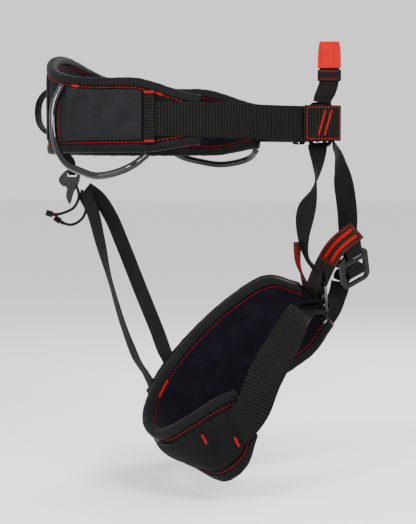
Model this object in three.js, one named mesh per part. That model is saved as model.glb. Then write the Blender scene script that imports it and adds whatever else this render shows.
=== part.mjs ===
// Climbing harness: a padded waist belt with a tie-in loop, and two padded leg loops that hang
// from it on webbing risers. Millimetres, +Z up. The wearer faces -Y and +X is the wearer's left.
// The origin is the middle of the belt's opening, at the belt's mid-height.
import * as THREE from 'three';
import { mergeVertices } from 'three/addons/utils/BufferGeometryUtils.js';

// ---- driving dimensions ----
const GAP = 0.4;                    // clearance between neighbouring pieces
const LAYER_GAP = 0.6;              // clearance between the bent layers of a pad
const BELT_WEBBING = 45;            // width of the waist and outer leg webbing
const SLING_WEBBING = 28;           // width of the tie-in sling and inner leg webbing
const WEBBING_THICKNESS = 2.2;
const ELASTIC_WIDTH = 20;
const ELASTIC_THICKNESS = 2.4;
const TAIL_WIDTH = 8;
const PAD = { lining: 1.2, foam: 7, shell: 1.2 };
const BINDING_HEIGHT = 5;
const BINDING_PROUD = 0.8;
const GEAR_TUBE_RADIUS = 4.5;
const GEAR_CORE_RADIUS = 2.8;
const LEG_TWIST_DEG = 20;           // the leg loops hang turned a little to the wearer's left
const LEG_ORIGIN = [-33, -32, 0];   // middle of the leg-loop pair, in the belt's frame

// ---- materials ----
const paint = (color, roughness, metalness = 0) =>
  new THREE.MeshStandardMaterial({ color, roughness, metalness });
const finish = {
  shell: paint(0x1b1b1e, 0.9),
  panel: paint(0x26262a, 0.85),
  lining: paint(0x15121a, 0.95),
  foam: paint(0x2c2c30, 1),
  binding: paint(0x101012, 0.7),
  webbing: paint(0x191715, 0.75),
  patch: paint(0x2a2422, 0.8),
  elastic: paint(0x121214, 0.85),
  sheath: paint(0xe8241f, 0.7),
  tube: paint(0x0c0c0e, 0.2),
  cord: paint(0x8a8a8a, 0.9),
  buckle: paint(0x101113, 0.25, 0.8),
  bar: paint(0xb9bcc0, 0.25, 1),
  plastic: paint(0x2b2d31, 0.35),
};

// ---- helpers ----
const vec = (point) => new THREE.Vector3(...point);
const spline = (points) => new THREE.CatmullRomCurve3(points.map(vec), false, 'centripetal');
const mirrored = (points) => points.map(([x, y, z]) => [-x, y, z]);

// Merges shared corners and turns the faces outwards.
function solid(geometry) {
  geometry.deleteAttribute('uv');
  geometry.deleteAttribute('normal');
  const merged = mergeVertices(geometry, 1e-4);
  const position = merged.attributes.position;
  const index = merged.index.array;
  let volume = 0;
  const corners = [new THREE.Vector3(), new THREE.Vector3(), new THREE.Vector3()];
  for (let i = 0; i < index.length; i += 3) {
    corners.forEach((corner, k) => corner.fromBufferAttribute(position, index[i + k]));
    volume += corners[0].dot(corners[1].clone().cross(corners[2]));
  }
  if (volume < 0) {
    for (let i = 0; i < index.length; i += 3) {
      [index[i], index[i + 1]] = [index[i + 1], index[i]];
    }
  }
  merged.computeVertexNormals();
  return merged;
}

// Cuts the quads of a box's last face along the same diagonals as the face across from it, so
// that bent layers stay parallel.
function matchDiagonals(box) {
  const index = box.index.array;
  const { start, count } = box.groups[5];
  for (let i = start; i < start + count; i += 6) {
    const [a, b, d, , c] = index.slice(i, i + 6);
    index.set([a, b, c, a, c, d], i);
  }
}

// A bent slab. frameAt(t) gives the low edge, the high edge and the outward direction of a
// surface at t; the slab lies between the offsets inner and outer from that surface.
function slab(frameAt, { from = 0, to = 1, inner, outer, low = 0, high = 0, steps = 24 }) {
  const box = new THREE.BoxGeometry(1, 1, 1, steps, 1, 1);
  const position = box.attributes.position;
  for (let i = 0; i < position.count; i += 1) {
    const along = THREE.MathUtils.lerp(from, to, position.getX(i) + 0.5);
    const frame = frameAt(along);
    const rise = frame.high.clone().sub(frame.low).normalize();
    const bottom = frame.low.clone().addScaledVector(rise, low);
    const top = frame.high.clone().addScaledVector(rise, high);
    const point = bottom.lerp(top, position.getY(i) + 0.5);
    point.addScaledVector(frame.out, THREE.MathUtils.lerp(inner, outer, position.getZ(i) + 0.5));
    position.setXYZ(i, point.x, point.y, point.z);
  }
  matchDiagonals(box);
  return solid(box);
}

// Surface of a flat strap: its middle line, and the direction across it at each middle point.
// The width is one number, or a list that follows the strap from end to end.
function ribbon(points, across, width) {
  const middle = spline(points);
  const sideways = spline(across);
  const widths = [width].flat();
  return (t) => {
    const place = t * (widths.length - 1);
    const before = Math.min(Math.floor(place), widths.length - 1);
    const after = Math.min(before + 1, widths.length - 1);
    const half = THREE.MathUtils.lerp(widths[before], widths[after], place - before) / 2;
    const centre = middle.getPoint(t);
    const tangent = middle.getTangent(t);
    const side = sideways.getPoint(t);
    side.addScaledVector(tangent, -side.dot(tangent)).normalize();
    return {
      low: centre.clone().addScaledVector(side, -half),
      high: centre.clone().addScaledVector(side, half),
      out: tangent.cross(side).normalize(),
    };
  };
}

// Surface between two edge lines, such as a shaped pad.
function between(lowEdge, highEdge) {
  const low = spline(lowEdge);
  const high = spline(highEdge);
  return (t) => {
    const tangent = low.getTangent(t).add(high.getTangent(t));
    const rise = high.getPoint(t).sub(low.getPoint(t));
    return { low: low.getPoint(t), high: high.getPoint(t), out: tangent.cross(rise).normalize() };
  };
}

const strap = (points, across, width, thickness = WEBBING_THICKNESS, steps = 24) =>
  slab(ribbon(points, across, width), { inner: -thickness / 2, outer: thickness / 2, steps });

// Round rod or tube along a line.
function tube(points, radius, hole = 0, steps = 40, sides = 12) {
  const ring = new THREE.Shape().absarc(0, 0, radius, 0, 2 * Math.PI);
  if (hole) ring.holes.push(new THREE.Path().absarc(0, 0, hole, 0, 2 * Math.PI, true));
  return solid(new THREE.ExtrudeGeometry(ring, {
    steps, extrudePath: spline(points), curveSegments: sides, bevelEnabled: false,
  }));
}

const root = new THREE.Group();
const legs = new THREE.Group();
legs.position.set(...LEG_ORIGIN);
legs.rotation.z = THREE.MathUtils.degToRad(LEG_TWIST_DEG);
root.add(legs);

function add(group, name, geometry, material) {
  const mesh = new THREE.Mesh(geometry, material);
  mesh.name = name;
  group.add(mesh);
  return mesh;
}

// Adds the five layers of a pad: lining, foam, shell, and the bindings along its two edges.
function addPad(group, prefix, surface, from, to, steps) {
  const depth = PAD.lining + PAD.foam + PAD.shell + 2 * LAYER_GAP;
  const span = { from, to, steps };
  const foamOuter = -PAD.shell - LAYER_GAP;
  const foamInner = foamOuter - PAD.foam;
  add(group, `${prefix}_outer_shell`,
    slab(surface, { ...span, inner: -PAD.shell, outer: 0 }), finish.shell);
  add(group, `${prefix}_foam_core`,
    slab(surface, { ...span, inner: foamInner, outer: foamOuter, low: 1, high: -1 }), finish.foam);
  add(group, `${prefix}_inner_lining`,
    slab(surface, { ...span, inner: -depth, outer: -depth + PAD.lining }), finish.lining);
  const trim = { ...span, inner: -depth - BINDING_PROUD, outer: BINDING_PROUD };
  const topEdge = (t) => {
    const frame = surface(t);
    const rise = frame.high.clone().sub(frame.low).normalize();
    const low = frame.high.clone().addScaledVector(rise, LAYER_GAP);
    return { low, high: low.clone().addScaledVector(rise, BINDING_HEIGHT), out: frame.out };
  };
  const bottomEdge = (t) => {
    const frame = surface(t);
    const rise = frame.high.clone().sub(frame.low).normalize();
    const high = frame.low.clone().addScaledVector(rise, -LAYER_GAP);
    return { low: high.clone().addScaledVector(rise, -BINDING_HEIGHT), high, out: frame.out };
  };
  add(group, `${prefix}_top_binding`, slab(topEdge, trim), finish.binding);
  add(group, `${prefix}_bottom_binding`, slab(bottomEdge, trim), finish.binding);
}

// ---- waist belt ----
// Outer face of the belt in plan, from the back round the wearer's right side to the front.
const RIGHT_PLAN = [
  [0, 197], [-34, 194], [-68, 182], [-98, 156], [-120, 112], [-130, 50], [-131, -5],
  [-117, -58], [-72, -114], [-26, -166], [-6, -196],
];
const LEFT_PLAN = RIGHT_PLAN.slice(1).reverse().map(([x, y]) => [-x, y]);
const beltPlan = new THREE.CatmullRomCurve3(
  [...RIGHT_PLAN, ...LEFT_PLAN].map(([x, y]) => new THREE.Vector3(x, y, 0)), true, 'centripetal');
const BELT_LENGTH = beltPlan.getLength();
const PAD_END = 328;                // the pad's half length, from the back along the belt

// Heights of the pad's edges at a distance s from the middle of the back: a lumbar rise in the
// middle, and a taper down to the webbing at the ends.
const SIDE_TOP = 47;
const SIDE_BOTTOM = -37;
const LUMBAR_RISE = 40;
const LUMBAR_REACH = 100;
const TAPER_START = 230;

function topHeight(s) {
  const lumbar = LUMBAR_RISE * Math.exp(-((s / LUMBAR_REACH) ** 2));
  return SIDE_TOP + lumbar - 22 * THREE.MathUtils.smoothstep(Math.abs(s), TAPER_START, PAD_END + 8);
}

function bottomHeight(s) {
  return SIDE_BOTTOM + 11 * THREE.MathUtils.smoothstep(Math.abs(s), TAPER_START + 20, PAD_END + 8);
}

// How far the belt drops towards the front.
const FRONT_DROP = 4.5;
const dropAt = (s) => FRONT_DROP * THREE.MathUtils.smoothstep(Math.abs(s), TAPER_START, 460);

// s is the distance along the belt from the back: negative on the wearer's right.
function beltFrame(s, lowZ, highZ) {
  const t = ((-s / BELT_LENGTH) % 1 + 1) % 1;
  const point = beltPlan.getPointAt(t);
  const tangent = beltPlan.getTangentAt(t);
  const out = new THREE.Vector3(-tangent.y, tangent.x, 0).multiplyScalar(-1);
  return {
    low: new THREE.Vector3(point.x, point.y, lowZ - dropAt(s)),
    high: new THREE.Vector3(point.x, point.y, highZ - dropAt(s)),
    out,
  };
}

const padSurface = (s) => beltFrame(s, bottomHeight(s), topHeight(s));
const beltBand = (low, high) => (s) => beltFrame(s, low, high);

addPad(root, 'waist', padSurface, -PAD_END, PAD_END, 42);

const HALF_WEB = BELT_WEBBING / 2;
const TIP = BELT_LENGTH / 2;        // distance to the front of the belt
const WEB_START = 259;              // where the webbing comes out from under its band
const WEB_OUTER = 3.2;
const WEB_INNER = WEB_OUTER - WEBBING_THICKNESS;
const SKIN = 0.9;                   // thickness of a sewn panel
const SKIN_GAP = 0.8;               // clearance under a sewn panel
const BAND_WIDTH = 15;
const CHANNEL_LENGTH = 46;
const CHANNEL_END = 6;              // the channel stops this far from the tip

add(root, 'back_panel', slab(padSurface, {
  from: -82, to: 82, inner: SKIN_GAP, outer: SKIN_GAP + SKIN, low: 14, high: -12, steps: 20,
}), finish.panel);
for (const [side, sign] of [['right', -1], ['left', 1]]) {
  add(root, `side_panel_${side}`, slab(padSurface, {
    from: sign * 122, to: sign * 253, inner: SKIN_GAP, outer: SKIN_GAP + SKIN, low: 10, high: -10, steps: 14,
  }), finish.panel);
  add(root, `gear_loop_band_${side}`, slab(padSurface, {
    from: sign * 257, to: sign * (257 + BAND_WIDTH), inner: WEB_OUTER + GAP,
    outer: WEB_OUTER + GAP + 1.6, low: 5, high: -6, steps: 3,
  }), finish.webbing);
}

// ---- front channel, where the tie-in sling passes through the belt ----
const SLING_INNER = WEB_OUTER + GAP;
const SLING_OUTER = SLING_INNER + 2 * WEBBING_THICKNESS;
const CHANNEL_MIDDLE = -(TIP - CHANNEL_END - CHANNEL_LENGTH / 2);
add(root, 'front_channel', slab(beltBand(-HALF_WEB - 1, HALF_WEB + 1), {
  from: CHANNEL_MIDDLE - CHANNEL_LENGTH / 2, to: CHANNEL_MIDDLE + CHANNEL_LENGTH / 2,
  inner: SLING_OUTER + GAP, outer: SLING_OUTER + GAP + 1.8, steps: 10,
}), finish.webbing);
add(root, 'sling_in_channel', slab(beltBand(-HALF_WEB - 1, HALF_WEB + 1), {
  from: CHANNEL_MIDDLE - SLING_WEBBING / 2, to: CHANNEL_MIDDLE + SLING_WEBBING / 2,
  inner: SLING_INNER, outer: SLING_OUTER, steps: 6,
}), finish.webbing);

// ---- hardware shapes, each in its own frame: x across, y along, z through ----
function roundedRectangle(shape, width, height, radius, x = 0, y = 0) {
  const right = x + width / 2 - radius;
  const left = x - width / 2 + radius;
  const up = y + height / 2 - radius;
  const down = y - height / 2 + radius;
  shape.moveTo(left, down - radius);
  shape.lineTo(right, down - radius);
  shape.absarc(right, down, radius, -Math.PI / 2, 0);
  shape.lineTo(right + radius, up);
  shape.absarc(right, up, radius, 0, Math.PI / 2);
  shape.lineTo(left, up + radius);
  shape.absarc(left, up, radius, Math.PI / 2, Math.PI);
  shape.lineTo(left - radius, down);
  shape.absarc(left, down, radius, Math.PI, 1.5 * Math.PI);
  return shape;
}

// A strip of plate or cloth with holes, centred on its thickness.
function plate(outline, holes, thickness, curveSegments = 4) {
  outline.holes.push(...holes);
  const geometry = new THREE.ExtrudeGeometry(outline, {
    depth: thickness, bevelEnabled: false, curveSegments,
  });
  return geometry.translate(0, 0, -thickness / 2);
}

// Buckle frame: a slot for the sewn strap at the top, and a window for the slide bar below it.
const BUCKLE_THICKNESS = 3.4;
const TOP_BAR = 5;                  // height of the bar that the sewn strap wraps
const SLOT_HEIGHT = 6.5;
const MIDDLE_BAR = 4;
const BOTTOM_BAR = 6;
const SLIDE_BAR_RADIUS = 2.6;

function buckle(window, length, side = 6) {
  const width = window + 2 * side;
  const slotY = length / 2 - TOP_BAR - SLOT_HEIGHT / 2;
  const windowHeight = length - TOP_BAR - SLOT_HEIGHT - MIDDLE_BAR - BOTTOM_BAR;
  const windowY = -length / 2 + BOTTOM_BAR + windowHeight / 2;
  const frame = plate(roundedRectangle(new THREE.Shape(), width, length, 10), [
    roundedRectangle(new THREE.Path(), window, SLOT_HEIGHT, 1.5, 0, slotY),
    roundedRectangle(new THREE.Path(), window, windowHeight, 2, 0, windowY),
  ], BUCKLE_THICKNESS);
  const bar = new THREE.CylinderGeometry(SLIDE_BAR_RADIUS, SLIDE_BAR_RADIUS, window - 1, 12);
  bar.rotateZ(Math.PI / 2).translate(0, windowY, 0);
  return { frame, bar, windowY, barY: length / 2 - TOP_BAR / 2 };
}

// Places a shape so that its x and y follow the given directions.
function placement(centre, across, up) {
  const y = vec(up).normalize();
  const x = vec(across).addScaledVector(y, -vec(across).dot(y)).normalize();
  return new THREE.Matrix4().makeBasis(x, y, x.clone().cross(y)).setPosition(...centre);
}

const placed = (matrix, points) => points.map(
  (point) => vec(point).applyMatrix4(matrix).toArray());

// Route of a sewn strap round the top bar: down behind it, through the slot and up in front.
const wrapLine = (barY, clearance) => [
  [0, barY + 16, -clearance], [0, barY + 5, -clearance], [0, barY - 1.5, -clearance],
  [0, barY - 5.6, 0], [0, barY - 1.5, clearance], [0, barY + 5, clearance],
  [0, barY + 20, clearance],
];

// Route of an adjusting strap round the slide bar: in from behind, over the bar and back.
const threadLine = (windowY, reach, tail) => [
  [0, windowY - 6, -reach], [0, windowY - 6, -4], [0, windowY - 4.6, 4], [0, windowY, 6.4],
  [0, windowY + 4.6, 4], [0, windowY + 6, -4], [0, windowY + 3, -tail],
];

// ---- tie-in loop: the sling above the belt, doubled, in a red sheath with a keeper ----
const LOOP_ACROSS = [0.342, -0.94, 0];
const LOOP_APART = [0.94, 0.342, 0];
const channelFrame = beltFrame(CHANNEL_MIDDLE, 0, 0);
const channelFoot = channelFrame.low.clone().addScaledVector(
  channelFrame.out, (SLING_INNER + SLING_OUTER) / 2);
const CHANNEL_ACROSS = [0.6, -0.8, 0];
const LOOP_HEIGHTS = [21.2, 27, 38, 50, 68, 86];
const LOOP_LEAN = [3, 4, 9, 12, 12, 12];  // how far the loop leans to the front, by height
const LOOP_APARTNESS = [1.6, 2, 3, 3.3, 3.4, 3.4];
const LOOP_TOP = 96;
const loopSide = (sign) => LOOP_HEIGHTS.map((z, k) => channelFoot.clone()
  .addScaledVector(vec(LOOP_ACROSS), LOOP_LEAN[k])
  .addScaledVector(vec(LOOP_APART), sign * LOOP_APARTNESS[k]).setZ(z).toArray());
const loopCrown = channelFoot.clone()
  .addScaledVector(vec(LOOP_ACROSS), LOOP_LEAN[LOOP_LEAN.length - 1]).setZ(LOOP_TOP);
const loopLine = [...loopSide(-1), loopCrown.toArray(), ...loopSide(1).reverse()];
const loopAcross = loopLine.map((point) => (point[2] < 30 ? CHANNEL_ACROSS : LOOP_ACROSS));
add(root, 'tie_in_loop_webbing', strap(loopLine, loopAcross, SLING_WEBBING - 4, 1.8, 36),
  finish.webbing);

// A flat tube round the loop's two layers.
function flatTube(width, depth, skin, height) {
  return plate(roundedRectangle(new THREE.Shape(), width, depth, 3), [
    roundedRectangle(new THREE.Path(), width - 2 * skin, depth - 2 * skin, 3 - skin),
  ], height, 3);
}
const loopUpright = (z) => placement(
  [loopCrown.x, loopCrown.y, z], LOOP_ACROSS, [-LOOP_APART[0], -LOOP_APART[1], 0]);
const SHEATH_HEIGHTS = [65, 77, 88];
const SHEATH_APART = 3.4 + 2;
const sheathSide = (sign) => SHEATH_HEIGHTS.map((z) => loopCrown.clone()
  .addScaledVector(vec(LOOP_APART), sign * SHEATH_APART).setZ(z).toArray());
const sheathCrown = loopCrown.clone().setZ(LOOP_TOP + 2.4).toArray();
const sheathLine = [...sheathSide(-1), sheathCrown, ...sheathSide(1).reverse()];
add(root, 'tie_in_loop_sheath', strap(
  sheathLine, sheathLine.map(() => LOOP_ACROSS), SLING_WEBBING, 1.2, 28), finish.sheath);
add(root, 'tie_in_keeper', solid(
  flatTube(SLING_WEBBING + 1, 12.8, 1.2, 14.5).applyMatrix4(loopUpright(56))), finish.webbing);

// ---- waist buckle, behind the front channel on the wearer's left ----
const WAIST_BUCKLE_S = TIP - 41;
const buckleFrameAt = beltFrame(WAIST_BUCKLE_S, 0, 0);
const buckleAlong = beltPlan.getTangentAt(1 - WAIST_BUCKLE_S / BELT_LENGTH);
const waistBuckle = buckle(BELT_WEBBING + 2, 46);
const waistPlacement = placement(
  buckleFrameAt.low.toArray(), [0, 0, 1], buckleAlong.clone().negate().toArray());
add(root, 'waist_buckle_frame', solid(waistBuckle.frame.applyMatrix4(waistPlacement)), finish.buckle);
add(root, 'waist_slide_bar', solid(waistBuckle.bar.applyMatrix4(waistPlacement)), finish.bar);

// The right webbing goes round the front of the belt and wraps the buckle's top bar.
const beltPoint = (s, offset) => {
  const frame = beltFrame(s, 0, 0);
  return frame.low.addScaledVector(frame.out, offset).toArray();
};
const WRAP_CLEARANCE = 3.6;
const WEB_MIDDLE = WEB_OUTER - WEBBING_THICKNESS / 2;
const STATIONS = 24;
const rightWebLine = [
  ...Array.from({ length: STATIONS + 1 }, (_, k) => (
    beltPoint(THREE.MathUtils.lerp(-WEB_START, -TIP, k / STATIONS), WEB_MIDDLE))),
  beltPoint(TIP - 6, WEB_MIDDLE),
  ...placed(waistPlacement, wrapLine(waistBuckle.barY, WRAP_CLEARANCE).slice(1, -1).reverse()),
];
add(root, 'waist_webbing_right', strap(
  rightWebLine, rightWebLine.map(() => [0, 0, 1]), BELT_WEBBING, WEBBING_THICKNESS, 52),
finish.webbing);

// The left webbing comes up behind the frame, round the slide bar, and back outside as the tail.
const THREAD_OFFSET = 4.4;
const TAIL_OFFSET = 7.5;
const waistThread = placed(waistPlacement, [
  [0, -58, -THREAD_OFFSET], [0, -36, -THREAD_OFFSET], [0, -16, -THREAD_OFFSET],
  [0, waistBuckle.windowY, -THREAD_OFFSET], [0, waistBuckle.windowY + 6, 0],
  [0, waistBuckle.windowY, THREAD_OFFSET], [0, -16, THREAD_OFFSET], [0, -36, THREAD_OFFSET],
  [0, -58, THREAD_OFFSET],
]);
const leftWebLine = [
  ...[0, 20, 40, 60, 80].map((step) => beltPoint(WEB_START + step, WEB_OUTER - 1.1)),
  beltPoint(WEB_START + 100, 0),
  ...waistThread,
  ...[118, 132].map((back) => beltPoint(TIP - back, TAIL_OFFSET)),
];
add(root, 'waist_webbing_left', strap(
  leftWebLine, leftWebLine.map(() => [0, 0, 1]), BELT_WEBBING, WEBBING_THICKNESS, 46),
finish.webbing);
const [keeperCentre] = placed(waistPlacement, [[0, -46, 0]]);
add(root, 'waist_tail_keeper', solid(flatTube(BELT_WEBBING + 5, 15.4, 1.2, 12).applyMatrix4(
  placement(keeperCentre, [0, 0, 1], buckleFrameAt.out.toArray()))), finish.elastic);

// ---- gear loops: a cord in a glossy sheath, one on each side ----
const GEAR_LOOP = [
  [-116, 137, 46], [-121, 146, 22], [-125, 147, 0], [-132, 140, -30], [-142, 121, -55],
  [-154, 92, -67], [-164, 68, -72], [-166, 41, -68], [-162, 20, -59], [-147, 6, -45],
];
const LEFT_GEAR_SHIFT = -44;        // the left gear loop sits a little further forward
const LEFT_GEAR_DROP = 0.75;        // and hangs less deep
const leftGearLoop = mirrored(GEAR_LOOP).map(([x, y, z], k) => (
  [x + (k < 3 ? 15 : 5), y + LEFT_GEAR_SHIFT, z < 0 ? z * LEFT_GEAR_DROP : z]));
for (const [side, points] of [['right', GEAR_LOOP], ['left', leftGearLoop]]) {
  add(root, `gear_loop_sheath_${side}`, tube(points, GEAR_TUBE_RADIUS, GEAR_CORE_RADIUS + 0.4, 20, 4),
    finish.tube);
  add(root, `gear_loop_cord_${side}`, tube(points, GEAR_CORE_RADIUS, 0, 20, 3), finish.cord);
}

// ---- haul loop: a bow of webbing at the middle of the back ----
const HAUL_LOOP = [
  [0, 200.6, 44], [0, 206, 48], [0, 216, 45], [0, 227, 32], [0, 230, 17], [0, 227, 0],
  [0, 216, -12], [0, 206, -14], [0, 200.6, -10],
];
add(root, 'haul_loop', strap(HAUL_LOOP, HAUL_LOOP.map(() => [1, 0, 0]), 20, 2.4, 28), finish.webbing);

// ---- leg loops ----
// Edge lines of the right leg pad, from the inner front end round the back to the outer front.
const LEG_TOP = [
  [-30, -123, -215], [-18, -81, -206], [-14, -29, -236], [-24, 36, -298], [-54, 74, -352],
  [-96, 80, -382], [-136, 62, -392], [-170, 22, -366], [-181, -10, -344], [-180, -34, -334],
];
const LEG_BOTTOM = [
  [-29, -160, -260], [-15, -138, -295], [-12, -92, -330], [-16, -24, -381], [-34, 22, -420],
  [-66, 44, -425], [-118, 16, -433], [-165, -20, -438], [-175, -45, -417], [-177, -58, -380],
];
const legSurface = between(LEG_BOTTOM, LEG_TOP);

// Collects one leg's pieces, for the right side; the left side is its mirror image.
function addMirrored(side, name, geometry, material) {
  if (side === 'left') geometry.scale(-1, 1, 1);
  add(legs, `${side}_${name}`, solid(geometry), material);
}
for (const side of ['right', 'left']) {
  const group = { add: (mesh) => addMirrored(side, mesh.name, mesh.geometry, mesh.material) };
  addPad(group, 'leg', legSurface, 0, 1, 30);
  addMirrored(side, 'leg_sleeve', slab(legSurface, {
    from: 0.6, to: 0.93, inner: 6, outer: 6.9, low: 20, high: -20, steps: 12,
  }), finish.panel);
}

// The outer webbing of a leg starts under the sleeve on the pad's outer face.
const WEB_OFFSET = 2.7;
const SLEEVED = [0.62, 0.68, 0.74, 0.8, 0.86, 0.92];
const padPoint = (t, offset, lift = 0.5) => {
  const frame = legSurface(t);
  return frame.low.clone().lerp(frame.high, lift).addScaledVector(frame.out, offset).toArray();
};
const padAcross = (t) => {
  const frame = legSurface(t);
  return frame.high.clone().sub(frame.low).normalize().toArray();
};

const LEG_BUCKLE_WINDOW = SLING_WEBBING + 4;
const LEG_BUCKLE_LENGTH = 50;
const THREAD_REACH = 20;
const THREADED_WIDTH = 30;           // the outer webbing gathers to this in the buckle
const TAIL_REACH = 32;              // the free end stands this far behind the buckle
const legStraps = {
  right: {
    buckle: { centre: [-64, -146, -234], across: [0.95, 0.1, -0.29], up: [0.29, 0.03, 0.95] },
    riser: [[-27, -141, -33], [-34, -140, -58], [-42, -136, -86], [-47, -125, -118],
      [-47, -122, -150], [-50, -127, -178]],
    riserAcross: [[0.29, -0.957, 0], [0.8, -0.55, 0], [1, 0.1, 0], [0.5, 0.86, 0.1],
      [0.85, 0.5, 0.2], [1, 0.15, 0]],
    inner: [[-18, -142, -246], [-22, -136, -225], [-38, -122, -200], [-46, -115, -178],
      [-45, -114, -156]],
    innerAcross: [[0, 1, 0.1], [0.3, 0.9, 0.3], [0.9, 0.2, 0.2], [1, 0, 0], [1, 0, 0]],
    outer: [[-186, -52, -352], [-178, -68, -314], [-148, -94, -270], [-112, -112, -243]],
    outerWidths: [45, 45, 42, 35],
    outerAcross: [[-0.15, 0.75, 0.6], [-0.1, 0.8, 0.55], [0.5, 0.65, 0.55], [0.8, 0.3, 0.5]],
  },
  left: {
    buckle: { centre: [44, -196, -195], across: [0.447, -0.8, 0.4], up: [-0.5, 0.15, 0.85] },
    riser: [[-20, -164, -36.5], [-2, -172, -57], [13, -180, -92], [26, -185, -125],
      [30, -186, -148]],
    riserAcross: [[0.97, -0.25, 0], [0.8, -0.6, 0], [0.1, -1, 0], [0.05, -1, 0.1],
      [0.3, -0.85, 0.3]],
    inner: [[18, -143, -246], [16, -143, -220], [12, -152, -194], [8, -168, -166],
      [8, -196, -142]],
    innerAcross: [[0, 1, 0.1], [0, 0.95, 0.3], [0, 0.8, 0.6], [0, 0.74, 0.67], [0, 0.74, 0.67]],
    outer: [[182, -59, -352], [162, -88, -324], [130, -124, -296], [96, -156, -266], [65, -174, -236]],
    outerWidths: [45, 45, 44, 40, 32],
    outerAcross: [[0.15, 0.75, 0.6], [0.1, 0.7, 0.65], [-0.3, 0.6, 0.75], [-0.3, 0.7, 0.6],
      [-0.4, 0.8, 0.1]],
  },
};

for (const side of ['right', 'left']) {
  const set = legStraps[side];
  const sign = side === 'left' ? -1 : 1;
  const flip = ([x, y, z]) => [sign * x, y, z];
  const spot = placement(set.buckle.centre, set.buckle.across, set.buckle.up);
  const across = new THREE.Vector3().setFromMatrixColumn(spot, 0).toArray();
  const hardware = buckle(LEG_BUCKLE_WINDOW, LEG_BUCKLE_LENGTH, 8);
  add(legs, `${side}_leg_buckle_frame`, solid(hardware.frame.applyMatrix4(spot)), finish.buckle);
  add(legs, `${side}_leg_slide_bar`, solid(hardware.bar.applyMatrix4(spot)), finish.bar);

  const wrap = placed(spot, wrapLine(hardware.barY, WRAP_CLEARANCE));
  const riserLine = [...set.riser, ...wrap];
  add(legs, `${side}_front_riser`, strap(
    riserLine, [...set.riserAcross, ...wrap.map(() => across)], SLING_WEBBING,
    WEBBING_THICKNESS, 36), finish.webbing);
  add(legs, `${side}_inner_webbing`, strap(
    set.inner, set.innerAcross, SLING_WEBBING, WEBBING_THICKNESS, 18), finish.patch);

  const sleeved = SLEEVED.map((t) => flip(padPoint(t, WEB_OFFSET)));
  const sleevedAcross = SLEEVED.map((t) => flip(padAcross(t)));
  const thread = placed(spot, threadLine(hardware.windowY, THREAD_REACH, TAIL_REACH));
  const outerLine = [...sleeved, ...set.outer, ...thread];
  const widths = [
    ...sleeved.map(() => BELT_WEBBING), ...set.outerWidths, ...thread.map(() => THREADED_WIDTH),
  ];
  add(legs, `${side}_outer_webbing`, strap(
    outerLine, [...sleevedAcross, ...set.outerAcross, ...thread.map(() => across)],
    widths, WEBBING_THICKNESS, 44), finish.webbing);
}

// ---- rear: drop-seat hook on the belt's tab, and the elastic risers to the leg loops ----
const REAR_RISERS = {
  right: {
    line: [[94, 171, -92], [86, 158, -118], [73, 147, -157], [49, 131, -213], [12, 112, -268],
      [-14, 94, -308], [-28, 80, -329], [-35, 74, -339]],
    across: [[0, 0.9, -0.4], [0.3, 0.8, -0.4], [0.6, 0.7, -0.4], [0.9, 0.3, 0],
      [0.9, 0.4, 0.2], [0.8, 0.5, 0.3], [0.8, 0.5, 0.3], [0.8, 0.5, 0.3]],
  },
  left: {
    line: [[109, 168, -88], [105, 150, -102], [99, 133, -128], [94, 119, -160], [84, 92, -227],
      [63, 70, -278], [27, 57, -306]],
    across: [[0, 0.9, -0.4], [0, 0.8, -0.6], [0, 0.85, -0.5], [0, 0.94, -0.34], [0, 0.94, -0.34],
      [0.2, 0.9, -0.3], [0.3, 0.85, -0.3]],
  },
};
for (const [side, { line, across }] of Object.entries(REAR_RISERS)) {
  add(legs, `rear_riser_${side}`, strap(line, across, ELASTIC_WIDTH, ELASTIC_THICKNESS, 24),
    finish.elastic);
}

// Hook: a flat plastic body with a slot for the tab, a round lobe behind and a pointed nose.
const HOOK_CENTRE = [102, 189, -80];
const HOOK_THICKNESS = 6;
const HOOK_OUTLINE = [
  [-7, 19], [-13, 12], [-12, 0], [-5, -13], [1, -30], [6, -19], [5, -7], [12, -4], [16, 4],
  [11, 12], [3, 18],
];
const hookCurve = new THREE.CatmullRomCurve3(
  HOOK_OUTLINE.map(([x, y]) => new THREE.Vector3(x, y, 0)), true, 'centripetal');
const hookShape = new THREE.Shape(hookCurve.getPoints(40).slice(0, -1)
  .map((point) => new THREE.Vector2(point.x, point.y)));
const hookSpot = placement(HOOK_CENTRE, [0, 1, 0], [0, 0, 1]);
const SLOT_Y = 10.5;
add(legs, 'drop_seat_hook', solid(plate(hookShape, [
  roundedRectangle(new THREE.Path(), 13, 5.6, 1.5, -2.5, SLOT_Y),
], HOOK_THICKNESS, 3).applyMatrix4(hookSpot)), finish.plastic);
const TAB_CLEARANCE = HOOK_THICKNESS / 2 + 1.6;
const tabLine = placed(hookSpot, [
  [-2.5, 27, -1], [-2.5, 22, -3.4], [-2.5, SLOT_Y + 4, -TAB_CLEARANCE],
  [-2.5, SLOT_Y, 0], [-2.5, SLOT_Y + 4, TAB_CLEARANCE], [-2.5, 21, 3.8],
]);
add(legs, 'drop_seat_tab', strap(tabLine, tabLine.map(() => [0, 1, 0]), 11, 1.2, 20),
  finish.webbing);

// The free ends of the rear risers, below the hook.
const REAR_TAILS = {
  right: [[86, 180, -83], [86, 176, -98], [87, 183, -114], [88, 199, -122], [88, 212, -124],
    [88, 221, -121]],
  left: [[101, 174, -90], [102, 167, -108], [102, 172, -128], [102, 187, -138],
    [102, 203, -134], [102, 211, -128]],
};
for (const [side, line] of Object.entries(REAR_TAILS)) {
  add(legs, `rear_tail_${side}`, strap(line, line.map(() => [1, 0, 0]), TAIL_WIDTH, 2, 20),
    finish.elastic);
}

export default root;
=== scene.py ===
"""Looks of the climbing harness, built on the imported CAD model. Lengths in the data are millimetres."""
import math

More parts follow.
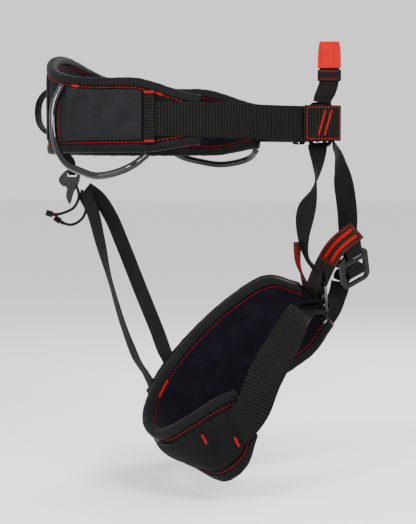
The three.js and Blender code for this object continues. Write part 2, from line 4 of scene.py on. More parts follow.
import bpy
import numpy as np
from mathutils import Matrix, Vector


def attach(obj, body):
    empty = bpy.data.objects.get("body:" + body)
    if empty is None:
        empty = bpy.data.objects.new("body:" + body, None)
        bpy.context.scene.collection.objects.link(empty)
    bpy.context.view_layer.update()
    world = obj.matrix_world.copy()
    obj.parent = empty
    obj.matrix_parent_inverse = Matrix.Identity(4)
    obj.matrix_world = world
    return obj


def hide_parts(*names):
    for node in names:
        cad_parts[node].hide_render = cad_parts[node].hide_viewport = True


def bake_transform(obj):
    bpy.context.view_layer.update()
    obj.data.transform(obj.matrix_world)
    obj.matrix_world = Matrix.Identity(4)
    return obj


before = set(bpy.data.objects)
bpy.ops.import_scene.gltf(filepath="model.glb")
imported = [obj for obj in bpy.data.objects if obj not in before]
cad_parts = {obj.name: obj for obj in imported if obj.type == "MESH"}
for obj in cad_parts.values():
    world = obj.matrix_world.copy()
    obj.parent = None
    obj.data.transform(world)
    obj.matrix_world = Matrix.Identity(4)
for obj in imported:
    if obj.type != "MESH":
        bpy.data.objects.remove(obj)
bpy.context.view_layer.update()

# ---- driving dimensions ----
BELT_WEBBING = 45.0
SLING_WEBBING = 28.0
THICK = 2.2  # thickness of the webbing
ELASTIC_WIDTH = 20
ELASTIC_THICKNESS = 2.4
PAD_DEPTH = 10.6
EDGES = (("top", True), ("bottom", False))
PAD_END = 328.0  # half the pad's length, from the back along the belt
SKIN_GAP = 0.8  # under a sewn panel
SKIN_TOP = 1.9
STITCH_INSET = 7.5
STITCH_END = 322
SIDE_PANEL_ENDS = (122, 253)
BAND_PLACE = 264.5  # middle of the band that holds a gear loop
WEB_START = 259.0  # where the webbing comes out from under its band
WEB_OUTER = 3.2
CHANNEL_LENGTH = 46
CHANNEL_END = 6  # from the channel to the front of the belt
SLING_OFFSET = 5.8
WAIST_BUCKLE_BACK = 41  # from the middle of the buckle to the front of the belt
WAIST_BUCKLE_LENGTH = 46
LEG_BUCKLE_LENGTH = 50
TOP_BAR, SLOT_HEIGHT, MIDDLE_BAR, BOTTOM_BAR = 5, 6.5, 4, 6
WAIST_BAR = 20.5  # from a buckle's middle to the middle of its top bar
LEG_BAR = 22.5
WRAP_CLEARANCE = 3.6
THREAD_OFFSET = 4.4
TAIL_OFFSET = 7.5
LEG_TURN = math.radians(20)
LEG_ORIGIN = np.array([-33.0, -32.0, 0.0])

# Ribs of the webbing. A diagonal rib moves DIAGONAL_LEAN across for each millimetre along, so its
# texture is turned by that angle and its spacing is a share of the pitch along the strap.
RIB = 4.0
DIAGONAL_RIB = 4.2
PATCH_RIB = 3.4
DIAGONAL_LEAN = 0.8
DIAGONAL_TURN = -0.675
DIAGONAL_SPACING = 0.781
TACK_PITCH = 0.95


# ---- materials ----
WAVE_PERIOD = 0.314  # metres between the bands of a wave texture at scale 1


def principled(name, rough, metal=0.0, coat=0.0, sheen=0.0, specular=0.2):
    """New material and its shader."""
    material = bpy.data.materials.new(name)
    material.use_nodes = True
    shader = material.node_tree.nodes["Principled BSDF"]
    for socket, value in (("Roughness", rough), ("Metallic", metal), ("Coat Weight", coat),
                          ("Sheen Weight", sheen), ("Specular IOR Level", specular)):
        shader.inputs[socket].default_value = value
    return material, shader


# Each of these adds a node to the tree of the output that it takes in.
def noise(source, scale, detail=4.0):
    tree = source.id_data
    texture = tree.nodes.new("ShaderNodeTexNoise")
    texture.inputs["Scale"].default_value = scale
    texture.inputs["Detail"].default_value = detail
    tree.links.new(source, texture.inputs["Vector"])
    return texture.outputs["Fac"]


def between_colours(factor, dark, light):
    tree = factor.id_data
    ramp = tree.nodes.new("ShaderNodeValToRGB")
    for stop, position, colour in zip(ramp.color_ramp.elements, (0.3, 0.75), (dark, light)):
        stop.position = position
        stop.color = (*colour, 1)
    tree.links.new(factor, ramp.inputs["Fac"])
    return ramp.outputs["Color"]


def maths(operation, first, second):
    tree = first.id_data
    node = tree.nodes.new("ShaderNodeMath")
    node.operation = operation
    tree.links.new(first, node.inputs[0])
    if isinstance(second, float):
        node.inputs[1].default_value = second
    else:
        tree.links.new(second, node.inputs[1])
    return node.outputs[0]


def bands(source, direction, pitch):
    """Wave texture with a band every pitch millimetres."""
    tree = source.id_data
    wave = tree.nodes.new("ShaderNodeTexWave")
    wave.bands_direction = direction
    wave.inputs["Scale"].default_value = WAVE_PERIOD / (pitch / 1000)
    tree.links.new(source, wave.inputs["Vector"])
    return wave


def add_bump(height, shader, strength, distance):
    """Shades the surface as if it rose with height, by distance metres at most."""
    tree = height.id_data
    node = tree.nodes.new("ShaderNodeBump")
    node.inputs["Strength"].default_value = strength
    node.inputs["Distance"].default_value = distance
    tree.links.new(height, node.inputs["Height"])
    tree.links.new(node.outputs["Normal"], shader.inputs["Normal"])


def woven(name, dark, light, rough, thread, bump, sheen=0.02, turn=0.0, open_mesh=False, rib=0.0):
    """Cloth with crossing threads and ribs, thread and rib millimetres wide, in the piece's u and v."""
    material, shader = principled(name, rough, sheen=sheen, specular=0.07)
    shader.inputs["Sheen Roughness"].default_value = 0.5
    tree = material.node_tree
    uv = tree.nodes.new("ShaderNodeUVMap").outputs["UV"]
    mapping = tree.nodes.new("ShaderNodeMapping")
    mapping.inputs["Rotation"].default_value = (0, 0, turn)
    tree.links.new(uv, mapping.inputs["Vector"])
    turned = mapping.outputs["Vector"]
    waves = []
    for direction in ("X", "Y"):
        wave = bands(turned, direction, thread)
        wave.inputs["Distortion"].default_value = 0.6
        wave.inputs["Detail"].default_value = 1.0
        waves.append(wave.outputs["Fac"])
    weave = maths("MULTIPLY" if open_mesh else "MAXIMUM", *waves)
    if rib:
        ribs = bands(turned, "X" if turn else "Y", rib).outputs["Fac"]
        weave = maths("MULTIPLY", ribs, maths("ADD", maths("MULTIPLY", weave, 0.4), 0.6))
    patchy = noise(uv, 45.0)
    fuzz = noise(uv, 2600.0, 2.0)
    tone = maths("ADD", maths("MULTIPLY", weave, 0.75 if rib else 0.45),
                 maths("MULTIPLY", patchy, 0.4 if rib else 0.65))
    tree.links.new(between_colours(tone, dark, light), shader.inputs["Base Color"])
    add_bump(maths("ADD", weave, maths("MULTIPLY", fuzz, 0.5)), shader, bump, 0.0004)
    return material


def glossy(name, dark, light, rough, metal, coat, scratch=0.12, dent=0.06, specular=0.2):
    """Smooth plastic or metal with faint wear in its colour and roughness."""
    material, shader = principled(name, rough, metal, coat, specular=specular)
    tree = material.node_tree
    place = tree.nodes.new("ShaderNodeTexCoord").outputs["Object"]
    marks = noise(place, 260.0, 6.0)
    tree.links.new(between_colours(marks, dark, light), shader.inputs["Base Color"])
    worn = maths("ADD", maths("MULTIPLY", marks, scratch), rough - scratch / 2)
    tree.links.new(worn, shader.inputs["Roughness"])
    add_bump(marks, shader, dent, 0.0003)
    return material


SHELL = woven("shell cloth", (0.0006, 0.0006, 0.0008), (0.004, 0.004, 0.0045), 0.9, 0.9, 0.35)
PANEL = woven("panel weave", (0.0008, 0.0009, 0.0012), (0.0095, 0.0103, 0.0115), 0.8, 2.2, 0.6)
LINING = woven("lining mesh", (0.0008, 0.0005, 0.0014), (0.005, 0.003, 0.008), 0.95, 2.6, 0.6,
               open_mesh=True)
BINDING = woven("binding tape", (0.0006, 0.0006, 0.0008), (0.0035, 0.0035, 0.004), 0.6, 0.8, 0.25)
WEBBING = woven("webbing", (0.0004, 0.0004, 0.0003), (0.0058, 0.0054, 0.0051), 0.7, 1.0, 0.4, rib=RIB)
DIAGONAL = woven("diagonal webbing", (0.0004, 0.0004, 0.0003), (0.0058, 0.0054, 0.0051), 0.7, 1.0, 0.4,
                 turn=DIAGONAL_TURN, rib=DIAGONAL_SPACING * DIAGONAL_RIB)
PATCH = woven("inner webbing", (0.0015, 0.001, 0.0008), (0.016, 0.011, 0.009), 0.7, 1.0, 0.4,
              turn=DIAGONAL_TURN, rib=DIAGONAL_SPACING * PATCH_RIB)
ELASTIC = woven("elastic", (0.0006, 0.0006, 0.0008), (0.006, 0.006, 0.007), 0.65, 0.9, 0.45)
SHEATH = woven("red sheath", (0.20, 0.0002, 0.0002), (0.34, 0.0004, 0.0003), 0.55, 0.9, 0.3, 0.02)
THREAD = woven("red thread", (0.18, 0.0002, 0.0002), (0.32, 0.0004, 0.0004), 0.6, 0.6, 0.3, 0.02)
TUBE = glossy("gear loop tube", (0.0015, 0.0015, 0.0018), (0.003, 0.003, 0.0035), 0.14, 0.0, 0.45, 0.03,
              0.004)
BUCKLE = glossy("buckle steel", (0.0012, 0.0012, 0.0015), (0.004, 0.004, 0.0045), 0.16, 0.0, 0.1,
                specular=0.09)
CHROME = glossy("bar chrome", (0.50, 0.50, 0.52), (0.72, 0.72, 0.74), 0.16, 1.0, 0.2, specular=0.5)
HOOK = glossy("hook plastic", (0.006, 0.0063, 0.007), (0.016, 0.017, 0.019), 0.22, 0.0, 0.25)


# ---- curves and frames ----
def unit(v):
    return v / max(np.linalg.norm(v), 1e-9)


class Curve:
    """Centripetal Catmull-Rom curve through its points, open or closed."""

    def __init__(self, points, closed=False):
        self.p = np.array(points, float)
        self.closed = closed

    def __call__(self, t):
        p, n = self.p, len(self.p)
        place = (n if self.closed else n - 1) * t
        i = int(math.floor(place))
        if not self.closed:
            i = min(max(i, 0), n - 2)
        w = place - i
        if self.closed:
            p0, p1, p2, p3 = (p[(i + k) % n] for k in (-1, 0, 1, 2))
        else:
            p1, p2 = p[i], p[i + 1]
            p0 = p[i - 1] if i > 0 else 2 * p[0] - p[1]
            p3 = p[i + 2] if i + 2 < n else 2 * p[-1] - p[-2]
        d0, d1, d2 = (max(np.linalg.norm(b - a), 1e-6) ** 0.5
                      for a, b in ((p0, p1), (p1, p2), (p2, p3)))
        m1 = ((p1 - p0) / d0 - (p2 - p0) / (d0 + d1) + (p2 - p1) / d1) * d1
        m2 = ((p2 - p1) / d1 - (p3 - p1) / (d1 + d2) + (p3 - p2) / d2) * d1
        c2 = -3 * p1 + 3 * p2 - 2 * m1 - m2
        c3 = 2 * p1 - 2 * p2 + m1 + m2
        return p1 + m1 * w + c2 * w * w + c3 * w * w * w

    def tangent(self, t):
        low, high = (t - 1e-4, t + 1e-4) if self.closed else (max(t - 1e-4, 0), min(t + 1e-4, 1))
        return unit(self(high) - self(low))


def smooth(x, low, high):
    """Eased step: 0 up to low, 1 from high on."""
    x = min(max((x - low) / (high - low), 0), 1)
    return x * x * (3 - 2 * x)


def distances(points):
    """Distance along a row of points to each of them."""
    return np.concatenate([[0], np.cumsum(np.linalg.norm(np.diff(points, axis=0), axis=1))])


def read(x, distance, rows):
    """Row at the distance x, between the rows that lie at the given distances."""
    return np.array([np.interp(x, distance, column) for column in np.array(rows).T])


# Belt: a closed plan curve, read by distance along it from the middle of the back.
RIGHT_PLAN = [(0, 197), (-34, 194), (-68, 182), (-98, 156), (-120, 112), (-130, 50), (-131, -5),
              (-117, -58), (-72, -114), (-26, -166), (-6, -196)]
LEFT_PLAN = [(-x, y) for x, y in RIGHT_PLAN[:0:-1]]
PLAN = Curve([(x, y, 0) for x, y in RIGHT_PLAN + LEFT_PLAN], closed=True)
PLAN_T = np.linspace(0, 1, 4001)
PLAN_AT = np.array([PLAN(t) for t in PLAN_T])
PLAN_LENGTH = distances(PLAN_AT)
BELT_LENGTH = PLAN_LENGTH[-1]
TIP = BELT_LENGTH / 2  # distance to the front of the belt

# Heights of the pad's edges: a lumbar rise at the back, and a taper down to the webbing.
SIDE_TOP = 47
SIDE_BOTTOM = -37
LUMBAR_RISE = 40
LUMBAR_REACH = 100.0
TAPER_START = 230.0
TAPER_END = PAD_END + 8
FRONT_DROP = 4.5


def top_height(s):
    lumbar = LUMBAR_RISE * math.exp(-((s / LUMBAR_REACH) ** 2))
    return SIDE_TOP + lumbar - 22 * smooth(abs(s), TAPER_START, TAPER_END)


def bottom_height(s):
    return SIDE_BOTTOM + 11 * smooth(abs(s), TAPER_START + 20, TAPER_END)


def drop_at(s):
    return FRONT_DROP * smooth(abs(s), TAPER_START, 460)


def belt_frame(s, low, high):
    """Two points of the belt at the heights low and high, and the way out of the belt there."""
    t = float(np.interp(-s % BELT_LENGTH, PLAN_LENGTH, PLAN_T))
    point, tangent = PLAN(t), PLAN.tangent(t)
    out = np.array([tangent[1], -tangent[0], 0])
    drop = np.array([0, 0, drop_at(s)])
    return point + (0, 0, low) - drop, point + (0, 0, high) - drop, out


def belt_point(s, offset):
    point, _, out = belt_frame(s, 0, 0)
    return point + out * offset


def pad_surface(s):
    return belt_frame(s, bottom_height(s), top_height(s))


# Leg loops: local x, y, z turned about the vertical and shifted into the belt's frame.
def leg_direction(v):
    c, s = math.cos(LEG_TURN), math.sin(LEG_TURN)
    return np.array([v[0] * c - v[1] * s, v[0] * s + v[1] * c, v[2]])


def leg_place(v):
    return LEG_ORIGIN + leg_direction(v)


LEG_TOP = Curve([
    (-30, -123, -215), (-18, -81, -206), (-14, -29, -236), (-24, 36, -298), (-54, 74, -352),
    (-96, 80, -382), (-136, 62, -392), (-170, 22, -366), (-181, -10, -344), (-180, -34, -334)])
LEG_BOTTOM = Curve([
    (-29, -160, -260), (-15, -138, -295), (-12, -92, -330), (-16, -24, -381), (-34, 22, -420),
    (-66, 44, -425), (-118, 16, -433), (-165, -20, -438), (-175, -45, -417), (-177, -58, -380)])


def leg_local(t, side):
    low, high = LEG_BOTTOM(t), LEG_TOP(t)
    out = unit(np.cross(LEG_BOTTOM.tangent(t) + LEG_TOP.tangent(t), high - low))
    flip = np.array([-1 if side == "left" else 1, 1, 1])
    return low * flip, high * flip, out * flip


def leg_surface(side):
    def surface(t):
        low, high, out = leg_local(t, side)
        return leg_place(low), leg_place(high), leg_direction(out)
    return surface


# ---- mesh building ----
def make(name, vertices, faces, uvs, materials, slots=None):
    """Smooth-shaded mesh object, from vertices and uvs in millimetres."""
    mesh = bpy.data.meshes.new(name)
    mesh.from_pydata([tuple(v) for v in np.array(vertices) / 1000], [], faces)
    layer = mesh.uv_layers.new(name="UVMap")
    uv = np.array(uvs, float) / 1000
    order = np.empty(len(mesh.loops), np.int32)
    mesh.loops.foreach_get("vertex_index", order)
    layer.data.foreach_set("uv", uv[order].astype(np.float32).ravel())
    for material in materials:
        mesh.materials.append(material)
    if slots is not None:
        mesh.polygons.foreach_set("material_index", np.array(slots, np.int32))
    mesh.polygons.foreach_set("use_smooth", np.ones(len(faces), bool))
    mesh.update()
    piece = bpy.data.objects.new(name, mesh)
    bpy.context.collection.objects.link(piece)
    return piece


def rings(name, sections, uvs, materials, slot_of=None, closed=False):
    """Joins rows of matching points into a skin, with the ends filled."""
    count, around = len(sections), len(sections[0])
    vertices = np.concatenate(sections)
    faces, slots = [], []
    for i in range(count if closed else count - 1):
        j = (i + 1) % count
        for k in range(around):
            m = (k + 1) % around
            faces.append((i * around + k, i * around + m, j * around + m, j * around + k))
            slots.append(slot_of(k) if slot_of else 0)
    if not closed:
        faces.append(tuple(range(around))[::-1])
        faces.append(tuple(range((count - 1) * around, count * around)))
        slots += [0, 0]
    return make(name, vertices, faces, np.concatenate(uvs), materials, slots)


def finish_piece(piece, body, nodes=()):
    """Attaches a piece to its body, when it has one, and hides the CAD nodes that it stands for."""
    if body:
        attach(piece, body)
    if nodes:
        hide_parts(*nodes)
    return piece


class Strap:
    """Middle line of a strap, with its sideways and outward directions, at even steps."""

    def __init__(self, points, across, width, step, on_leg=False):
        line, sideways = Curve(points), Curve(across)
        fine = np.linspace(0, 1, 600)
        at = np.array([line(t) for t in fine])
        length = distances(at)
        self.length = length[-1]
        count = max(int(self.length / step), 8)
        self.s = np.linspace(0, self.length, count + 1)
        widths = np.atleast_1d(width)
        self.centre, self.side, self.out, self.width = [], [], [], []
        for s in self.s:
            t = float(np.interp(s, length, fine))
            tangent = line.tangent(t)
            side = sideways(t)
            side = unit(side - tangent * side.dot(tangent))
            out = unit(np.cross(tangent, side))
            centre = line(t)
            if on_leg:
                centre, side, out = leg_place(centre), leg_direction(side), leg_direction(out)
            self.centre.append(centre)
            self.side.append(side)
            self.out.append(out)
            self.width.append(np.interp(t * (len(widths) - 1), range(len(widths)), widths))

    def at(self, s, u, offset):
        """Point on the strap at s along, u from its middle and offset out, with its directions."""
        side, out = unit(read(s, self.s, self.side)), unit(read(s, self.s, self.out))
        return read(s, self.s, self.centre) + side * u + out * offset, side, out


def rib_height(style, u, s, pitch):
    """Height of a woven rib, 0 to 1, at u across and s along."""
    over_ribs = {"across": s, "along": u, "diagonal": s * DIAGONAL_LEAN + u,
                 "herringbone": s + abs(u) * 0.9}
    return abs(math.sin(math.pi * over_ribs[style] / pitch)) ** 0.7


def tape(name, strap, thickness, material, style, pitch, relief, across, body, nodes=()):
    """Ribbed strap with rolled edges, built round its middle line."""
    half = thickness / 2
    edge = [math.pi * k / 4 for k in (1, 2, 3)]
    sections, uvs = [], []
    for s, centre, side, out, width in zip(strap.s, strap.centre, strap.side, strap.out, strap.width):
        w = width / 2 - half
        ring, uv = [], []
        for sign in (1, -1):
            for k in range(across + 1):
                u = sign * (2 * k / across - 1) * w
                fade = min(1.0, (w - abs(u)) / 1.5 + 0.15)
                rise = half - relief + relief * rib_height(style, u, s, pitch) * fade
                ring.append(centre + side * u + out * sign * rise)
                uv.append((u + sign * 40, s))
            for angle in edge:
                x, y = math.sin(angle) * (half - relief), math.cos(angle) * (half - relief)
                ring.append(centre + side * sign * (w + x) + out * sign * y)
                uv.append((sign * (w + x) + 80, s))
        sections.append(np.array(ring))
        uvs.append(np.array(uv))
    piece = rings(name, sections, uvs, [material])
    return finish_piece(piece, body, nodes)


def dashes(name, marks, radius, body):
    """Stitches: one small rounded bar of thread for each (middle, direction, normal, length)."""
    vertices, faces, uvs = [], [], []
    for centre, direction, normal, length in marks:
        side = np.cross(direction, normal)
        base = len(vertices)
        for place, size in ((-0.5, 0.45), (-0.3, 1.0), (0.3, 1.0), (0.5, 0.45)):
            for k in range(6):
                angle = math.pi * k / 3
                vertices.append(centre + direction * place * length + size * radius * (
                    side * math.cos(angle) + normal * (math.sin(angle) * 0.8)))
                uvs.append((k, place * length))
        for ring in range(3):
            for k in range(6):
                a, b = base + ring * 6 + k, base + ring * 6 + (k + 1) % 6
                faces.append((a, b, b + 6, a + 6))
        faces.append(tuple(base + k for k in range(6))[::-1])
        faces.append(tuple(base + 18 + k for k in range(6)))
    piece = make(name, vertices, faces, uvs, [THREAD])
    return finish_piece(piece, body)


def running(points, normals, pitch, length):
    """Even stitches along a line of points."""
    distance = distances(points)
    marks = []
    for s in np.arange(pitch / 2, distance[-1], pitch):
        ahead = read(min(s + 0.5, distance[-1]), distance, points)
        back = read(max(s - 0.5, 0), distance, points)
        normal = unit(read(s, distance, normals))
        marks.append((read(s, distance, points), unit(ahead - back), normal, length))
    return marks


def strap_line(strap, start, end, u_start, u_end, offset, pitch=4.4, length=3.0):
    """Running stitches on a strap, between two places given by s along and u across."""
    steps = np.linspace(0, 1, 30)
    rows = [strap.at(start + (end - start) * k, u_start + (u_end - u_start) * k, offset) for k in steps]
    sign = 1 if offset > 0 else -1
    return running([r[0] for r in rows], [r[2] * sign for r in rows], pitch, length)


def strap_bar(strap, start, end, u_start, u_end, offset, width, pitch=TACK_PITCH):
    """Bartack: close stitches side by side, from one end of a line to the other."""
    marks = []
    sign = 1 if offset > 0 else -1
    run = math.hypot(end - start, u_end - u_start)
    for k in np.arange(0, run, pitch) / run:
        s, u = start + (end - start) * k, u_start + (u_end - u_start) * k
        centre, side, out = strap.at(s, u, offset)
        ahead, _, _ = strap.at(s + 0.5, u, offset)
        along = unit(ahead - centre)
        line = unit(along * (end - start) + side * (u_end - u_start))
        marks.append((centre, unit(np.cross(out, line)), out * sign, width))
    return marks


def dress(node, material, bevel, segments=3):
    """Gives a CAD node its material and rounds its hard edges."""
    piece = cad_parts[node]
    piece.data.materials.clear()
    piece.data.materials.append(material)
    rounding = piece.modifiers.new("Round", "BEVEL")
    rounding.width = bevel / 1000
    rounding.segments = segments
    rounding.limit_method = "ANGLE"
    rounding.angle_limit = math.radians(38)
    for polygon in piece.data.polygons:
        polygon.use_smooth = True
    piece.modifiers.new("Even", "WEIGHTED_NORMAL")


def flat_ring(name, centre, axes, width, depth, height, material, body, nodes, style):
    """Closed band of tape round a strap: axes are across, through, and along the strap."""
    sections, uvs = [], []
    count, pitch = 96, 2.4
    half_w, half_d = width / 2, depth / 2
    for k in range(count):
        angle = 2 * math.pi * k / count
        c, s = math.cos(angle), math.sin(angle)
        x = math.copysign(abs(c) ** 0.28, c) * half_w
        y = math.copysign(abs(s) ** 0.4, s) * half_d
        outward = unit(axes[0] * c * half_d + axes[1] * s * half_w)
        spot = centre + axes[0] * x + axes[1] * y
        run = k * (2 * (width + depth)) / count
        ring, uv = [], []
        for face in (1, -1):
            for j in range(9):
                h = face * (j / 8 - 0.5) * height
                thick = 0.6 * (1 - abs(2 * h / height) ** 8)
                rib = 0.2 * rib_height(style, h, run, pitch)
                ring.append(spot + axes[2] * h + outward * (face * (thick + rib) - 0.6))
                uv.append((run, h))
        sections.append(np.array(ring))
        uvs.append(np.array(uv))
    piece = rings(name, sections, uvs, [material], closed=True)
    return finish_piece(piece, body, nodes)


# ---- pads ----
def pad(name, surface, start, end, steps, rows, low=0.0, high=0.0, outer=0.0, inner=-PAD_DEPTH,
        roll=12.0, pinch=2.6, materials=(SHELL, LINING), fade=0.0):
    """Crowned closed form between two edges, thinner towards its edges and ends."""
    sections, uvs = [], []
    run = 0.0
    before = None
    for t in np.linspace(start, end, steps + 1):
        bottom, top, out = surface(t)
        rise = unit(top - bottom)
        bottom, top = bottom + rise * low, top + rise * high
        height = np.linalg.norm(top - bottom)
        middle = (bottom + top) / 2
        run += 0 if before is None else np.linalg.norm(middle - before)
        before = middle
        ring, uv = [], []
        for sign, level in ((1, outer), (-1, inner)):
            for k in range(rows + 1):
                h = k / rows if sign > 0 else 1 - k / rows
                near = min(h, 1 - h) * height
                full = 1 - (1 - min(near / roll, 1)) ** 2
                drop = pinch * (1 - full) if sign > 0 or level < 0 else 0
                if sign > 0 and fade:
                    drop = max(drop, (outer - 1.5) * (1 - smooth(min(t - start, end - t), 0, fade)))
                ring.append(bottom + rise * (h * height) + out * (level - sign * drop))
                uv.append((run, h * height + (0 if sign > 0 else 200)))
        sections.append(np.array(ring))
        uvs.append(np.array(uv))
    around = 2 * (rows + 1)
    return rings(name, sections, uvs, materials, lambda k: 0 if k < rows or k == around - 1 else 1)


def puff(piece, limit, rows, steps):
    """Cloth simulation under slight pressure, with the edges held, then kept within a limit."""
    edge_rows, frames = 2, 20
    mesh = piece.data
    rest = np.array([v.co for v in mesh.vertices])
    around = 2 * (rows + 1)
    held = piece.vertex_groups.new(name="held")
    for i in range(len(rest)):
        station, k = divmod(i, around)
        row = k if k <= rows else k - rows - 1
        if station < 2 or station > steps - 2 or min(row, rows - row) < edge_rows:
            held.add([i], 1.0, "REPLACE")
    cloth = piece.modifiers.new("Cloth", "CLOTH")
    settings = cloth.settings
    settings.quality = 5
    settings.mass = 0.3
    settings.tension_stiffness = 12
    settings.compression_stiffness = 12
    settings.bending_stiffness = 0.4
    settings.use_pressure = True
    settings.uniform_pressure_force = 4
    settings.vertex_group_mass = "held"
    settings.effector_weights.gravity = 0
    cloth.collision_settings.use_collision = False
    cloth.point_cache.frame_end = frames
    scene = bpy.context.scene
    for f in range(1, frames + 1):
        scene.frame_set(f)
    shaped = piece.evaluated_get(bpy.context.evaluated_depsgraph_get())
    moved = np.array([v.co for v in shaped.data.vertices]) - rest
    piece.modifiers.clear()
    scene.frame_set(1)
    size = np.maximum(np.linalg.norm(moved, axis=1, keepdims=True), 1e-9)
    capped = rest + moved * np.minimum(1, limit / 1000 / size)
    mesh.vertices.foreach_set("co", capped.astype(np.float32).ravel())
    mesh.update()


def binding(name, surface, start, end, steps, top, body, nodes):
    """Tape folded over a pad's edge: a rounded roll with a thin skirt on each face."""
    reach, proud = 5.5, 1.0
    sections, uvs = [], []
    run, before = 0.0, None
    centre, half = -PAD_DEPTH / 2, PAD_DEPTH / 2 + proud
    for t in np.linspace(start, end, steps + 1):
        low, high, out = surface(t)
        rise = unit(high - low) * (1 if top else -1)
        edge = high if top else low
        run += 0 if before is None else np.linalg.norm(edge - before)
        before = edge
        profile = [(half, -reach), (half + 0.3, -reach + 1.2), (half, -1.0)]
        for k in range(1, 12):
            angle = math.pi * k / 12
            profile.append((half * math.copysign(abs(math.cos(angle)) ** 0.75, math.cos(angle)),
                            -0.6 + 5.9 * math.sin(angle) ** 0.75))
        profile += [(-half, -1.0), (-half - 0.3, -reach + 1.2), (-half, -reach)]
        ripple = 0.25 * math.sin(run / 3.1) * math.sin(run / 11.0)
        ring = [edge + out * (centre + x) + rise * (y + (ripple if y > 0 else 0)) for x, y in profile]
        sections.append(np.array(ring))
        uvs.append(np.array([(run, k * 2.2) for k in range(len(ring))]))
    piece = rings(name, sections, uvs, [BINDING])
    return finish_piece(piece, body, nodes)


def inside_edge(surface, t, top, inset, offset):
    """Point at an inset from a pad's top or bottom edge, and the way out of the pad there."""
    low, high, out = surface(t)
    rise = unit(high - low)
    return (high - rise * inset if top else low + rise * inset) + out * offset, out


def edge_line(surface, start, end, top, inset, offset, steps):
    """Points and normals for stitches along a pad's edge, on its outer or inner face."""
    points, normals = [], []
    for t in np.linspace(start, end, steps):
        point, out = inside_edge(surface, t, top, inset, offset)
        points.append(point)
        normals.append(out if offset > -PAD_DEPTH / 2 else -out)
    return points, normals


def surface_bar(surface, start, end, inset_start, inset_end, offset, width, top=True):
    """Bartack on a pad, from one place along its edge to another."""
    first, _ = inside_edge(surface, start, top, inset_start, offset)
    last, _ = inside_edge(surface, end, top, inset_end, offset)
    _, _, out = surface((start + end) / 2)
    run = np.linalg.norm(last - first)
    line = unit(last - first)
    direction = unit(np.cross(out, line))
    return [(first + line * x, direction, out, width) for x in np.arange(0, run, TACK_PITCH)]


def skin(name, surface, start, end, steps, rows, low, high, inner, outer, body, nodes, material=PANEL,
         roll=3.0, fade=0.0):
    """Thin panel sewn on a pad, between insets low and high from the pad's edges."""
    pinch = (outer - inner) * (0.4 if roll < 5 else 0.7)
    piece = pad(name, surface, start, end, steps, rows, low, high, outer, inner, roll, pinch,
                (material, material), fade)
    return finish_piece(piece, body, nodes)


# ---- waist belt ----
WAIST_STEPS, WAIST_ROWS = 130, 18
waist_pad = pad("waist_pad", pad_surface, -PAD_END, PAD_END, WAIST_STEPS, WAIST_ROWS)
puff(waist_pad, 0.7, WAIST_ROWS, WAIST_STEPS)
finish_piece(waist_pad, "waist_belt",
             ["waist_outer_shell", "waist_foam_core", "waist_inner_lining"])
for word, top in EDGES:
    binding("waist_binding_" + word, pad_surface, -PAD_END, PAD_END, 320, top, "waist_belt",
            ["waist_%s_binding" % word])


def gear_band(side, sign):
    """Upright band in front of a side panel, over the end of the webbing."""
    low, _, out = pad_surface(sign * BAND_PLACE)
    along_belt = out[[1, 0, 2]] * (-1, 1, 1)
    line = [low + np.array([0, 0, z]) + out * 4.7 for z in (5, 20, 40, 60, 72)]
    band = Strap(line, [along_belt] * len(line), 15, 0.7)
    tape("gear_band_" + side, band, 2.0, WEBBING, "across", 2.4, 0.25, 10, "waist_belt",
         ["gear_loop_band_" + side])
    tacks = []
    for s in (3.0, band.length - 3.0):
        for offset in (1.1, -1.1):
            tacks += strap_bar(band, s, s, -6.3, 6.3, offset, 2.6)
    dashes("gear_band_tacks_" + side, tacks, 0.5, "waist_belt")


def edge_stitches(side, sign):
    """Stitches along both edges and both faces of half the waist pad, with two tacks on top."""
    reach = sorted((sign * 4, sign * STITCH_END))
    for form, offset, length, radius in (("edge_stitch_{0}_{1}", 0.7, 3.6, 0.5),
                                         ("lining_stitch_{1}_{0}", -PAD_DEPTH - 0.6, 3.4, 0.4)):
        for word, top in EDGES:
            points, normals = edge_line(pad_surface, *reach, top, STITCH_INSET, offset, 400)
            marks = running(points, normals, 5.6, length)
            dashes(form.format(side, word), marks, radius, "waist_belt")
    tacks = []
    for start, end in ((148, 160), (262, 280)):
        tacks += surface_bar(pad_surface, sign * start, sign * end, STITCH_INSET, STITCH_INSET, 0.9, 3.2)
    dashes("edge_tacks_" + side, tacks, 0.5, "waist_belt")


def panel_seam(side, sign):
    """Curved seam at the rear end of a side panel."""
    points, normals = [], []
    for h in np.linspace(0.1, 0.9, 40):
        s = sign * (SIDE_PANEL_ENDS[0] - 2 + 5 * (2 * h - 1) ** 2)
        low, high, out = pad_surface(s)
        points.append(low + (high - low) * h + out * (SKIN_TOP + 0.2))
        normals.append(out)
    dashes("panel_seam_" + side, running(points, normals, 5.4, 3.4), 0.45, "waist_belt")


skin("back_cloth", pad_surface, -82, 82, 60, 12, 14, -12, SKIN_GAP, SKIN_TOP, "waist_belt",
     ["back_panel"])
for side, sign in (("right", -1), ("left", 1)):
    panel_ends = sorted(sign * end for end in SIDE_PANEL_ENDS)
    skin("side_cloth_" + side, pad_surface, *panel_ends, 60, 12, 10, -10, SKIN_GAP, SKIN_TOP,
         "waist_belt", ["side_panel_" + side])
    gear_band(side, sign)
    edge_stitches(side, sign)
    panel_seam(side, sign)


# ---- webbing of the belt ----
WEB_MIDDLE = WEB_OUTER - THICK / 2
buckle_centre = belt_point(TIP - WAIST_BUCKLE_BACK, 0)
buckle_turn = float(np.interp(BELT_LENGTH - (TIP - WAIST_BUCKLE_BACK), PLAN_LENGTH, PLAN_T))
buckle_y = -PLAN.tangent(buckle_turn)
BUCKLE_AXES = (np.array([0, 0, 1.0]), buckle_y, np.cross([0, 0, 1.0], buckle_y))


